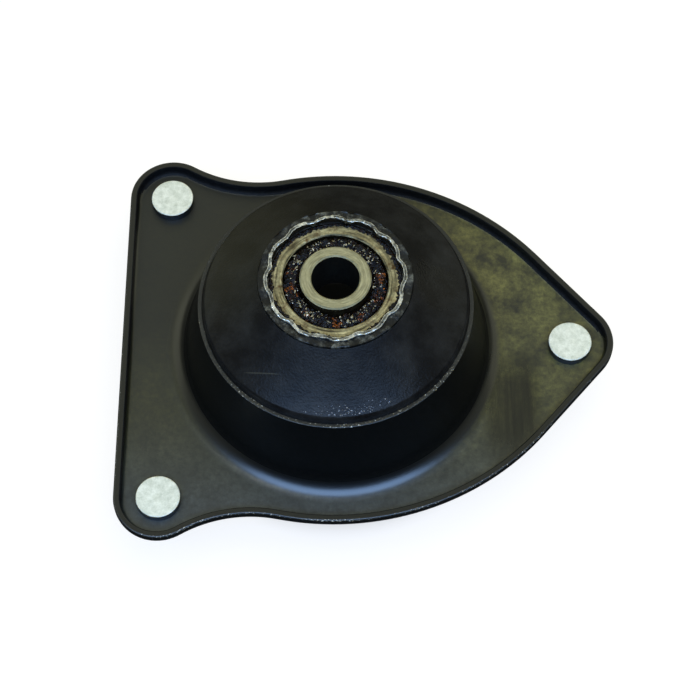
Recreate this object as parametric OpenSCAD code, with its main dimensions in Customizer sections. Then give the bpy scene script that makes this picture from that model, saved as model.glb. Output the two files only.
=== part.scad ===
// Strut mount with a bonded rubber bush and a staked ball bearing.
// The tower face of the plate is z = 0, the bearing axis is Z, and +Z points to the strut.

/* [Plate] */
// Thickness of the plate's sheet
plate_t = 2; // [1.5:0.1:3]
// Height of the turned-up lip above the tower face
lip_h = 5.6; // [4.5:0.1:9]
// Inside radius of the bend between plate and lip
bend_r = 1.5; // [0.5:0.1:2]
// Outside radius of the lip round each stud
corner_r = 13.15; // [11:0.05:15]
// Radius of the hollow between a rear corner and the flank
hollow_r = 40; // [30:1:50]
// Radius of the bulged flank beside the neck
flank_r = 83.5; // [78:0.5:90]
// Width of the flat land between the neck's foot and the lip's bend, where it is narrowest
land_w = 3.63; // [1:0.01:6]
// Where the flank is widest, measured back from the front stud
flank_x = 72.2; // [70:0.1:75]

/* [Studs] */
// Diameter of the circle that the studs stand on
stud_circle_d = 145; // [140:0.5:150]
// Distance of that circle's centre behind the bearing axis
stud_circle_back = 1; // [0:0.1:3]
// Angle of each rear stud from the front one
rear_stud_angle = 135; // [130:0.5:137]
// Outside diameter of the stud's thread
stud_d = 8; // [6:0.5:8.5]
// Length of the stud past the tower face
stud_l = 19; // [15:0.5:40]
// Step from the thread out to the splined press shank, which fills its hole
press_step = 0.4; // [0.2:0.05:0.8]
// Diameter of the flat head
head_d = 13.2; // [11:0.1:15]
// Height of the flat head
head_h = 3; // [2:0.1:4]
// Chamfer round the head's rim
head_chamfer = 0.4; // [0.1:0.1:0.8]
// Chamfer at the tip of the thread
tip_chamfer = 1.1; // [0.5:0.1:2]

/* [Neck] */
// Radius at which the neck's outer wall would meet the plate
neck_foot_r = 46.5; // [45.5:0.1:47.5]
// Outside radius of the neck's open rim
neck_rim_r = 40.6; // [39:0.1:42]
// Height of the rim above the tower face
neck_h = 29.9; // [26:0.1:34]
// Radius of the bend at the neck's foot, on the strut side
neck_fillet_r = 7; // [4:0.5:8]
// Thickness of the drawn-out sheet at the rim
rim_t = 1.2; // [0.8:0.1:1.8]

/* [Rubber bush] */
// Step from the neck's rim in to the rubber's shoulder
shoulder_inset = 2; // [1.4:0.1:4]
// Height of the shoulder above the neck's rim
shoulder_rise = 4.1; // [2:0.1:6]
// Rounding of the shoulder
shoulder_round = 1.2; // [0.5:0.1:2]
// Length of bare housing above the rubber
collar_bare = 0.7; // [0.3:0.1:2]
// Height above the tower face where the underside meets the neck
underside_z = 11; // [9.5:0.5:14]
// Depth of the underside's hollow
underside_sag = 3; // [1:0.5:5]
// Film of bonding agent between rubber and steel
bond_film = 0.02; // [0.01:0.01:0.05]

/* [Bearing housing] */
// Wall of the housing outside the bearing
housing_wall = 3.3; // [2.5:0.1:4]
// Thickness of the floor under the outer ring
floor_t = 2; // [1.5:0.1:3]
// Width of the floor under the outer ring
floor_lap = 3; // [1.5:0.1:3.4]
// Height of the housing's shoulder above the outer ring's face
housing_rise = 1.8; // [1.4:0.1:3]
// Height of the thin staking lip above that shoulder
stake_lip_h = 0.9; // [0.4:0.1:1.5]
// Thickness of the staking lip
stake_lip_t = 1.1; // [0.8:0.1:1.5]
// Gap between the outer ring's edge and the lip
stake_lip_gap = 0.4; // [0.2:0.1:0.8]
// Number of stakes round the lip
stake_count = 12; // [6:1:16]
// Angle of the first stake from the front stud
stake_phase = 19; // [0:1:29]
// Radius of the round staking punch
stake_r = 2.6; // [1.6:0.1:3]
// How far a stake reaches in over the outer ring
stake_reach = 0.9; // [0.5:0.1:1.2]
// Depth of the punch marks below the housing's shoulder
stake_depth = 0.5; // [0.2:0.1:1]

/* [Bearing] */
// Diameter of the bore for the piston rod
bore_d = 14; // [10:0.1:15]
// Outside diameter of the inner ring
inner_od = 20.76; // [19:0.02:21.2]
// Inside diameter of the outer ring
outer_id = 30.74; // [30.2:0.02:32]
// Outside diameter of the outer ring
outer_od = 38.4; // [37:0.1:40]
// Width of the outer ring
outer_w = 12; // [10:0.5:14]
// Length of the inner ring
inner_w = 16.3; // [14:0.1:18]
// Height of the outer ring's strut-side face above the neck's rim
bearing_rise = 12.87; // [11:0.01:15]
// Chamfer of the rings' outer edges
ring_chamfer = 0.6; // [0.3:0.1:0.9]
// Chamfer of the rings' inner edges
ring_bore_chamfer = 0.4; // [0.2:0.1:0.6]
// Diameter of a ball
ball_d = 6.35; // [6:0.05:6.6]
// Number of balls
ball_count = 8; // [7:1:8]
// Angle of the first ball from the front stud
ball_phase = -4; // [-20:1:20]
// Gap between a ball and its races
ball_gap = 0.05; // [0.02:0.01:0.1]
// Race radius as a share of the ball's diameter
race_share = 0.53; // [0.515:0.005:0.55]

/* [Cage] */
// Thickness of the cage's strip
cage_t = 0.6; // [0.4:0.1:0.8]
// Gap between the cage and each ring
cage_ring_gap = 0.9; // [0.5:0.1:1.2]
// Gap between a ball and its pocket
pocket_gap = 0.12; // [0.05:0.01:0.2]
// Diameter of a rivet's shank
rivet_d = 1; // [0.8:0.1:1.2]
// Diameter of a rivet's head
rivet_head_d = 1.7; // [1.4:0.1:2]
// Height of a rivet's head
rivet_head_h = 0.4; // [0.2:0.1:0.6]

/* [Hidden] */
$fn = 96;
BALL_NAMES = [for (i = [1 : ball_count]) str("ball_", i)];

// Overrun of cutting tools past a face
cut = 1;

// Press shank of a stud
press_d = stud_d + 2 * press_step;

// Bend of the lip
bend_outer_r = bend_r + plate_t;
bend_steps = 5;
lip_lap = land_w / 4;

// Neck: lean of its wall, and where its foot bend touches plate and wall
neck_lean = atan((neck_foot_r - neck_rim_r) / (neck_h - plate_t));
neck_wall = unit(90 + neck_lean);
foot_tangent = neck_fillet_r / tan((90 + neck_lean) / 2);
foot_c = [neck_foot_r + foot_tangent, plate_t + neck_fillet_r];
foot_on_wall = [neck_foot_r, plate_t] + foot_tangent * neck_wall;
foot_inside = foot_c + (neck_fillet_r + plate_t) * unit(180 + neck_lean);
rim_inner_r = neck_rim_r - rim_t;
foot_flat = land_w / 4;

// Plan of the plate, upper half: centres of its arcs and the angles where they meet
stud_circle_c = [-stud_circle_back, 0];
front_stud = stud_circle_c + [stud_circle_d / 2, 0];
rear_stud = stud_circle_c + stud_circle_d / 2 * [cos(rear_stud_angle), sin(rear_stud_angle)];
STUDS = [front_stud, rear_stud, [rear_stud.x, -rear_stud.y]];
half_width = foot_c.x + land_w + bend_outer_r;
flank_c = [front_stud.x - flank_x, half_width - flank_r];
hollow_c = tangent_centre(rear_stud, corner_r + hollow_r, flank_c, flank_r + hollow_r);
lobe_end = direction(hollow_c - rear_stud);
flank_end = direction(hollow_c - flank_c);
hollow_start = direction(rear_stud - hollow_c);
hollow_end = direction(flank_c - hollow_c);
tip_side = front_stud - flank_c;
flank_start = direction(tip_side) + acos((flank_r - corner_r) / norm(tip_side));

// Edge of the plate, clockwise from the middle of its rear side and back along the mirrored half
EDGE_HALF = concat(
    edge_arc(rear_stud, corner_r, 180, lobe_end, 0, 16),
    edge_arc(hollow_c, hollow_r, hollow_start, hollow_end, 1, 8, 180),
    edge_arc(flank_c, flank_r, flank_end, flank_start, 1, 16),
    edge_arc(front_stud, corner_r, flank_start, 0, 0, 6)
);
EDGE = concat(EDGE_HALF, [for (i = [len(EDGE_HALF) - 2 : -1 : 0])
    let (s = EDGE_HALF[i])
    [[s[0].x, -s[0].y], -s[1]]]);

// Bearing: heights of its faces and the circle of the balls
outer_top_z = neck_h + bearing_rise;
outer_low_z = outer_top_z - outer_w;
ball_z = outer_top_z - outer_w / 2;
inner_top_z = ball_z + inner_w / 2;
inner_low_z = ball_z - inner_w / 2;
pitch_r = (inner_od + outer_id) / 4;
ball_r = ball_d / 2;
race_r = race_share * ball_d;
outer_race_c = pitch_r + ball_r + ball_gap - race_r;
inner_race_c = pitch_r - ball_r - ball_gap + race_r;
ball_step = 360 / ball_count;

// Housing round the outer ring
seat_r = outer_od / 2;
housing_r = seat_r + housing_wall;
housing_low_z = outer_low_z - floor_t;
housing_top_z = outer_top_z + housing_rise;
lip_top_z = housing_top_z + stake_lip_h;
lip_inner_r = seat_r + stake_lip_gap;
lip_outer_r = lip_inner_r + stake_lip_t;
stake_step = 360 / stake_count;
stake_c = seat_r - stake_reach + stake_lip_t + stake_r;

// Rubber between neck and housing
bush_rim_r = rim_inner_r - bond_film;
bush_inner_r = housing_r + bond_film;
shoulder = [neck_rim_r - shoulder_inset, neck_h + shoulder_rise];
cone_top = [bush_inner_r, housing_top_z - collar_bare];
neck_inside_lean = (foot_inside.x - rim_inner_r) / (neck_h - foot_inside.y);
underside_edge = [bush_rim_r + neck_inside_lean * (neck_h - underside_z), underside_z];
underside_top = [bush_inner_r, housing_low_z];
bush_round_steps = 6;
bush_underside_steps = 16;

// Cage strip between the rings
cage_inner_r = inner_od / 2 + cage_ring_gap;
cage_outer_r = outer_id / 2 - cage_ring_gap;
pocket_r = ball_r + pocket_gap;

// Unit vector at an angle
function unit(angle) = [cos(angle), sin(angle)];

// Angle of a vector, from 0 to 360
function direction(v) = (atan2(v.y, v.x) + 360) % 360;

// Centre of the arc that lies at distance da from a and db from b, on the outer side of the plate
function tangent_centre(a, da, b, db) =
    let (
        gap = norm(b - a),
        along = (b - a) / gap,
        across = [-along.y, along.x],
        reach = (da * da - db * db + gap * gap) / (2 * gap)
    )
    a + reach * along + sqrt(da * da - reach * reach) * across;

// Points along an arc
function arc_points(centre, r, from, to, steps) =
    [for (i = [0 : steps]) centre + r * unit(from + (to - from) * i / steps)];

// Points along an arc through a and b that bulges to the left of a to b by sag
function bowed_points(a, b, sag, steps) =
    let (
        half = norm(b - a) / 2,
        r = (half * half + sag * sag) / (2 * sag),
        along = (b - a) / (2 * half),
        across = [-along.y, along.x],
        centre = (a + b) / 2 - (r - sag) * across,
        span = asin(half / r),
        middle = direction(across)
    )
    arc_points(centre, r, middle + span, middle - span, steps);

// Rounded corner at p between the edges from a and to b
function round_corner(a, p, b, r, steps) =
    let (
        u = (a - p) / norm(a - p),
        v = (b - p) / norm(b - p),
        half = acos(u * v) / 2,
        bisector = (u + v) / norm(u + v),
        centre = p + r / sin(half) * bisector,
        reach = r / tan(half),
        from = direction(p + reach * u - centre),
        turn = (direction(p + reach * v - centre) - from + 540) % 360 - 180
    )
    arc_points(centre, r, from, from + turn, steps);

// Stations along an arc of the plate's edge: a point and the angle that the edge faces there
function edge_arc(centre, r, from, to, first, steps, turned = 0) =
    [for (i = [first : steps])
        let (a = from + (to - from) * i / steps)
        [centre + r * unit(a), a + turned]];

// Section of the lip, counter-clockwise: x runs in from the outer edge, y is the height
function lip_section() = concat(
    arc_points([bend_outer_r, bend_outer_r], bend_outer_r, 180, 270, bend_steps),
    [[bend_outer_r + lip_lap, 0], [bend_outer_r + lip_lap, plate_t]],
    arc_points([bend_outer_r, bend_outer_r], bend_r, 270, 180, bend_steps),
    [[plate_t, lip_h], [0, lip_h]]
);

// Lip bent up all round: the section stands at every station, and strips join the stations
module lip() {
    section = lip_section();
    sides = len(section);
    stations = len(EDGE);
    points = [for (s = EDGE, q = section)
        let (p = s[0] - q.x * unit(s[1]))
        [p.x, p.y, q.y]];
    faces = [for (i = [0 : stations - 1], j = [0 : sides - 1])
        let (
            next_i = (i + 1) % stations,
            next_j = (j + 1) % sides
        )
        [i * sides + j, i * sides + next_j, next_i * sides + next_j, next_i * sides + j]];
    polyhedron(points, faces, convexity = 6);
}

// Outline of the flat, which ends within the lip's lap: a point midway between every two stations
function flat_outline() = [for (i = [0 : len(EDGE) - 1])
    let (
        a = EDGE[i],
        b = EDGE[(i + 1) % len(EDGE)],
        facing = unit(a[1]) + unit(b[1])
    )
    (a[0] + b[0]) / 2 - (bend_outer_r + lip_lap / 3) * facing / norm(facing)];

// Flat of the plate inside the bend, with the holes for the neck and the studs
module plate_flat() {
    linear_extrude(plate_t)
        difference() {
            polygon(flat_outline());
            circle(foot_c.x + foot_flat / 2);
            for (p = STUDS)
                translate(p)
                    circle(d = press_d);
        }
}

// Neck drawn up out of the plate, thinning to its open rim
module neck() {
    rotate_extrude()
        difference() {
            polygon([
                [rim_inner_r / 2, 0], [foot_c.x + foot_flat, 0], [foot_c.x + foot_flat, plate_t],
                [foot_c.x, plate_t], foot_c, foot_on_wall, [neck_rim_r, neck_h], [rim_inner_r / 2, neck_h]
            ]);
            translate(foot_c)
                circle(neck_fillet_r);
            difference() {
                polygon([
                    [0, -cut], [foot_c.x, -cut], foot_c, foot_inside,
                    [rim_inner_r, neck_h], [rim_inner_r, neck_h + cut], [0, neck_h + cut]
                ]);
                translate(foot_c)
                    circle(neck_fillet_r + plate_t);
            }
        }
}

// One stamping: flat plate, lip all round and drawn neck
module mounting_plate() {
    color("#33362f")
        union() {
            plate_flat();
            lip();
            neck();
        }
}

// Press-in stud with a flat round head on the strut side
module stud() {
    head_r = head_d / 2;
    thread_r = stud_d / 2;
    rotate_extrude()
        polygon([
            [0, -stud_l], [thread_r - tip_chamfer, -stud_l], [thread_r, tip_chamfer - stud_l],
            [thread_r, 0], [press_d / 2, 0], [press_d / 2, plate_t], [head_r, plate_t],
            [head_r, plate_t + head_h - head_chamfer], [head_r - head_chamfer, plate_t + head_h],
            [0, plate_t + head_h]
        ]);
}

// The three studs, alike
module studs() {
    color("#d7dcd4")
        for (p = STUDS)
            translate(p)
                stud();
}

// Moulded rubber, bonded to the neck's inside and to the housing
module rubber_bush() {
    step_foot = [bush_rim_r, neck_h];
    color("#1b1c1d")
        rotate_extrude()
            polygon(concat(
                [cone_top],
                bowed_points(underside_top, underside_edge, underside_sag, bush_underside_steps),
                [step_foot],
                round_corner(step_foot, shoulder, cone_top, shoulder_round, bush_round_steps)
            ));
}

// Places its children at every stake
module at_stakes() {
    for (i = [0 : stake_count - 1])
        rotate(stake_phase + i * stake_step)
            translate([stake_c, 0, 0])
                children();
}

// Steel tube with a floor for the bearing, its lip pushed in over the outer ring by a round punch
module bearing_housing() {
    color("#8d9190")
        difference() {
            union() {
                rotate_extrude()
                    polygon([
                        [seat_r - floor_lap, housing_low_z], [housing_r, housing_low_z],
                        [housing_r, housing_top_z], [lip_outer_r, housing_top_z],
                        [lip_outer_r, lip_top_z], [lip_inner_r, lip_top_z],
                        [lip_inner_r, outer_top_z], [seat_r, outer_top_z],
                        [seat_r, outer_low_z], [seat_r - floor_lap, outer_low_z]
                    ]);
                translate([0, 0, outer_top_z])
                    linear_extrude(lip_top_z - outer_top_z)
                        intersection() {
                            circle((lip_inner_r + lip_outer_r) / 2);
                            at_stakes()
                                circle(stake_r + stake_lip_t);
                        }
            }
            translate([0, 0, housing_top_z - stake_depth])
                at_stakes()
                    cylinder(h = lip_top_z, r = stake_r);
        }
}

// Chamfered section of a bearing ring with its race cut in
module ring_section(inner_r, outer_r, low_z, top_z, inner_chamfer, outer_chamfer, race_c) {
    difference() {
        polygon([
            [inner_r + inner_chamfer, low_z], [outer_r - outer_chamfer, low_z],
            [outer_r, low_z + outer_chamfer], [outer_r, top_z - outer_chamfer],
            [outer_r - outer_chamfer, top_z], [inner_r + inner_chamfer, top_z],
            [inner_r, top_z - inner_chamfer], [inner_r, low_z + inner_chamfer]
        ]);
        translate([race_c, ball_z])
            circle(race_r);
    }
}

// Outer ring, pressed into the housing
module bearing_outer_ring() {
    color("#8a8560")
        rotate_extrude()
            ring_section(outer_id / 2, seat_r, outer_low_z, outer_top_z,
                ring_bore_chamfer, ring_chamfer, outer_race_c);
}

// Wide inner ring that turns with the piston rod
module bearing_inner_ring() {
    color("#b2b08a")
        rotate_extrude()
            ring_section(bore_d / 2, inner_od / 2, inner_low_z, inner_top_z,
                ring_bore_chamfer, ring_bore_chamfer, inner_race_c);
}

// One ball, counted from 1
module ball(i) {
    color("#c9ccd0")
        rotate(ball_phase + (i - 1) * ball_step)
            translate([pitch_r, 0, ball_z])
                sphere(r = ball_r);
}

// Balls of a given radius at every pocket, on the plane z = 0
module at_pockets(r) {
    for (i = [0 : ball_count - 1])
        rotate(ball_phase + i * ball_step)
            translate([pitch_r, 0, 0])
                sphere(r = r);
}

// Places its children at every rivet, midway between two balls
module at_rivets() {
    for (i = [0 : ball_count - 1])
        rotate(ball_phase + (i + 0.5) * ball_step)
            translate([pitch_r, 0, 0])
                children();
}

// Half of the ribbon cage: a flat ring with a domed pocket over each ball
module cage_half() {
    difference() {
        intersection() {
            rotate_extrude()
                translate([cage_inner_r, 0])
                    square([cage_outer_r - cage_inner_r, pocket_r + cage_t]);
            union() {
                cylinder(h = cage_t, r = cage_outer_r + cut);
                at_pockets(pocket_r + cage_t);
            }
        }
        at_pockets(pocket_r);
        at_rivets()
            cylinder(h = 2 * cage_t, d = rivet_d);
    }
}

// Strut-side half of the cage
module cage_upper() {
    color("#6f6a55")
        translate([0, 0, ball_z])
            cage_half();
}

// Tower-side half of the cage
module cage_lower() {
    color("#6f6a55")
        translate([0, 0, ball_z])
            mirror([0, 0, 1])
                cage_half();
}

// Rivets that hold the two halves together, one between each pair of balls
module cage_rivets() {
    head_r = rivet_head_d / 2;
    shank_r = rivet_d / 2;
    grip = cage_t + rivet_head_h;
    color("#857f68")
        translate([0, 0, ball_z])
            at_rivets()
                rotate_extrude()
                    polygon([
                        [0, -grip], [shank_r, -grip], [head_r, -cage_t], [shank_r, -cage_t],
                        [shank_r, cage_t], [head_r, cage_t], [shank_r, grip], [0, grip]
                    ]);
}

mounting_plate();
studs();
rubber_bush();
bearing_housing();
bearing_outer_ring();
bearing_inner_ring();
cage_upper();
cage_lower();
cage_rivets();
for (i = [1 : ball_count])
    ball(i);
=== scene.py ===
# Strut mount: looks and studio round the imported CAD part.
import math
import random

import bmesh
import bpy
from mathutils import Matrix, Vector, noise


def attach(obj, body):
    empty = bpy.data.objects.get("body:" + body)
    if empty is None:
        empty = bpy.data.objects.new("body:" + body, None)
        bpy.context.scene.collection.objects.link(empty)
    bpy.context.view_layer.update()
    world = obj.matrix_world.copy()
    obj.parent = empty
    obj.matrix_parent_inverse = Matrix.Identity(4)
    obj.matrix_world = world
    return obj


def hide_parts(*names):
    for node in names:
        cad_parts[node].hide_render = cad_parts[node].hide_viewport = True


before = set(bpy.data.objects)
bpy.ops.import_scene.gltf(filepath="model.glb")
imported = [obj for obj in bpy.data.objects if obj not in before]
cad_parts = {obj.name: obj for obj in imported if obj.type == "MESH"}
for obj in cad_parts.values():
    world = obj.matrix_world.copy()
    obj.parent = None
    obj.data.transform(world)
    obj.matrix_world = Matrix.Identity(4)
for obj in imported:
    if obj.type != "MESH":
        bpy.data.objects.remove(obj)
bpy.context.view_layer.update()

# One millimetre in metres
MM = 0.001

# Sizes in millimetres, as in the part's CAD source
PLATE_T = 2.0
LIP_H = 5.6
BEND_R = 1.5
CORNER_R = 13.15
HOLLOW_R = 40.0
FLANK_R = 83.5
HALF_WIDTH = 59.3
FRONT_STUD = Vector((71.5, 0, 0))
REAR_STUD = Vector((-52.265, 51.265, 0))
FLANK_C = Vector((-0.7, HALF_WIDTH - FLANK_R, 0))
STUD_D = 8.0
STUD_L = 19.0
STUD_PITCH = 1.25
STUD_PRESS_D = 8.8
STUD_HEAD_D = 13.2
STUD_HEAD_H = 3.0
STUD_TIP_CHAMFER = 1.1
NECK_FOOT_R = 46.5
NECK_RIM_R = 40.6
NECK_H = 29.9
NECK_FILLET_R = 7.0
NECK_RIM_T = 1.2
NECK_INNER_FOOT_R = 44.61
NECK_INNER_LEAN = 0.1743
BOND_FILM = 0.02
COLLAR_BARE = 0.7
BUSH_UNDERSIDE_Z = 11.0
BUSH_UNDERSIDE_SAG = 3.0
HOUSING_R = 22.5
HOUSING_LOW_Z = 28.77
HOUSING_TOP_Z = 44.57
SEAT_R = 19.2
FLOOR_R = 16.2
STAKE_LIP_Z = 45.47
STAKE_LIP_IN_R = 19.6
STAKE_LIP_OUT_R = 20.7
STAKE_COUNT = 12
STAKE_PHASE = 19.0
STAKE_PUSH = 0.9
STAKE_DEPTH = 0.5
OUTER_LOW_Z = 30.77
OUTER_TOP_Z = 42.77
OUTER_ID_R = 15.37
INNER_OD_R = 10.38
INNER_LOW_Z = 28.62
INNER_TOP_Z = 44.92
BORE_R = 7.0
RING_CHAMFER = 0.6
RING_BORE_CHAMFER = 0.4
BALL_Z = 36.77
BALL_R = 3.175
BALL_COUNT = 8
BALL_PHASE = -4.0
PITCH_R = 12.875
RACE_R = 3.3655
OUTER_RACE_C = 12.7345
INNER_RACE_C = 13.0155

# Sizes in millimetres of this script alone. The rubber's shoulder is lower than in the CAD source,
# and its cone is slightly hollow
BUSH_SHOULDER = (38.7, 32.2)
BUSH_CONE_SAG = 0.5
NECK_FLAT_R = 53.0
NECK_DULL_Z = 4.6
GREASE_Z = 41.2
GREASE_TOP_Z = 43.1

# Points that lie this close become one, in millimetres, the wider value along a seam
MERGE_DIST = 0.0005
SEAM_DIST = 0.001

# Places of the further materials in a piece's list
PLATE_WORN = 1
PLATE_PAINTED_SHADE = 2
PLATE_NECK_SHADE = 3
HOUSING_BURNISHED = 1
HOUSING_GREASE_AND_SHADE = 2
HOUSING_RUBBED = 3
INNER_RING_BORE = 1
INNER_RING_WALL = 2

# Sockets of the colour Mix node
MIX_FACTOR = 0
MIX_A = 6
MIX_B = 7
MIX_OUT = 2

# Brightness of the studio's air
AIR = 0.3


def linear(hex_colour):
    """sRGB hex value as linear red, green, blue and alpha."""
    channels = [int(hex_colour[i : i + 2], 16) / 255 for i in (1, 3, 5)]
    return (*[c / 12.92 if c <= 0.04045 else ((c + 0.055) / 1.055) ** 2.4 for c in channels], 1.0)


def per_mm(size):
    """Texture scale that gives features of a size in millimetres."""
    return 1 / (size * MM)


def add(tree, kind, inputs=None, **settings):
    """Adds a node. An input takes a value or another node's output."""
    made = tree.nodes.new(kind)
    for name, value in settings.items():
        setattr(made, name, value)
    for key, value in (inputs or {}).items():
        if isinstance(value, bpy.types.NodeSocket):
            tree.links.new(value, made.inputs[key])
        else:
            made.inputs[key].default_value = value
    return made


def new_material(name):
    """Empty material with its output node."""
    material = bpy.data.materials.new(name)
    material.use_nodes = True
    material.node_tree.nodes.clear()
    output = material.node_tree.nodes.new("ShaderNodeOutputMaterial")
    return material, material.node_tree, output


def tangent_centre(a, a_reach, b, b_reach):
    """Point at distance a_reach from a and b_reach from b, on the outer side of the plate."""
    gap = (b - a).length
    along = (b - a) / gap
    across = Vector((-along.y, along.x, 0))
    reach = (a_reach**2 - b_reach**2 + gap**2) / (2 * gap)
    return a + reach * along + math.sqrt(a_reach**2 - reach**2) * across


def heading(v):
    """Angle of a vector in degrees, from 0 to 360."""
    return math.degrees(math.atan2(v.y, v.x)) % 360


def arc(centre, radius, start, end, steps):
    """Points of a section along an arc, angles in degrees."""
    angles = [math.radians(start + (end - start) * i / steps) for i in range(steps + 1)]
    return [(centre[0] + radius * math.cos(a), centre[1] + radius * math.sin(a)) for a in angles]


def chain(bm, points, closed):
    """Joins points by edges and returns both."""
    verts = [bm.verts.new(p) for p in points]
    pairs = list(zip(verts, verts[1:]))
    if closed:
        pairs.append((verts[-1], verts[0]))
    return verts + [bm.edges.new(pair) for pair in pairs]


def revolve(bm, section, steps, closed=True):
    """Turns a section of (radius, height) points about the Z axis."""
    geom = chain(bm, [(r, 0, z) for r, z in section], closed)
    bmesh.ops.spin(
        bm, geom=geom, cent=(0, 0, 0), axis=(0, 0, 1), angle=2 * math.pi, steps=steps, use_merge=True
    )


def round_edges(bm, edges, offset, segments):
    """Bevels edges to a round of the given width and returns its faces."""
    rounded = bmesh.ops.bevel(
        bm, geom=edges, offset=offset, segments=segments, profile=0.5, affect="EDGES",
        clamp_overlap=True, material=-1,
    )
    return rounded["faces"]


def tidy(bm):
    """Merges doubled points and turns faces outwards."""
    bmesh.ops.remove_doubles(bm, verts=bm.verts, dist=MERGE_DIST)
    bmesh.ops.recalc_face_normals(bm, faces=bm.faces)


def sharp_edges(bm, degrees):
    """Edges whose faces meet at more than an angle."""
    limit = math.radians(degrees)
    return [e for e in bm.edges if e.is_manifold and e.calc_face_angle() > limit]


def from_axis(point):
    """Distance of a point from the Z axis."""
    return math.hypot(point.x, point.y)


def set_from_axis(v, wanted):
    """Moves a vertex straight out or in to a distance from the Z axis."""
    scale = wanted / from_axis(v.co)
    v.co.x *= scale
    v.co.y *= scale


def points_in(way, place):
    """Whether a direction at a place points towards the Z axis."""
    return way.x * place.x + way.y * place.y < 0


def ring_edges(bm, radius, height, reach=0.05):
    """Edges that run round the Z axis at a radius and a height."""
    found = []
    for e in bm.edges:
        near = [abs(from_axis(v.co) - radius) < reach and abs(v.co.z - height) < reach for v in e.verts]
        if all(near):
            found.append(e)
    return found


def piece(name, bm, materials, body, replaces=(), smooth_degrees=40):
    """Makes an object in metres from a mesh in millimetres and sets it on a CAD body."""
    bmesh.ops.scale(bm, vec=(MM, MM, MM), verts=bm.verts)
    limit = math.radians(smooth_degrees)
    for face in bm.faces:
        face.smooth = True
    for edge in bm.edges:
        edge.smooth = not edge.is_manifold or edge.calc_face_angle() < limit
    mesh = bpy.data.meshes.new(name)
    bm.to_mesh(mesh)
    bm.free()
    for material in materials:
        mesh.materials.append(material)
    made = bpy.data.objects.new(name, mesh)
    bpy.context.scene.collection.objects.link(made)
    normals = made.modifiers.new("even_normals", "WEIGHTED_NORMAL")
    normals.keep_sharp = True
    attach(made, body)
    if replaces:
        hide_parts(*replaces)


# Materials

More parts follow.
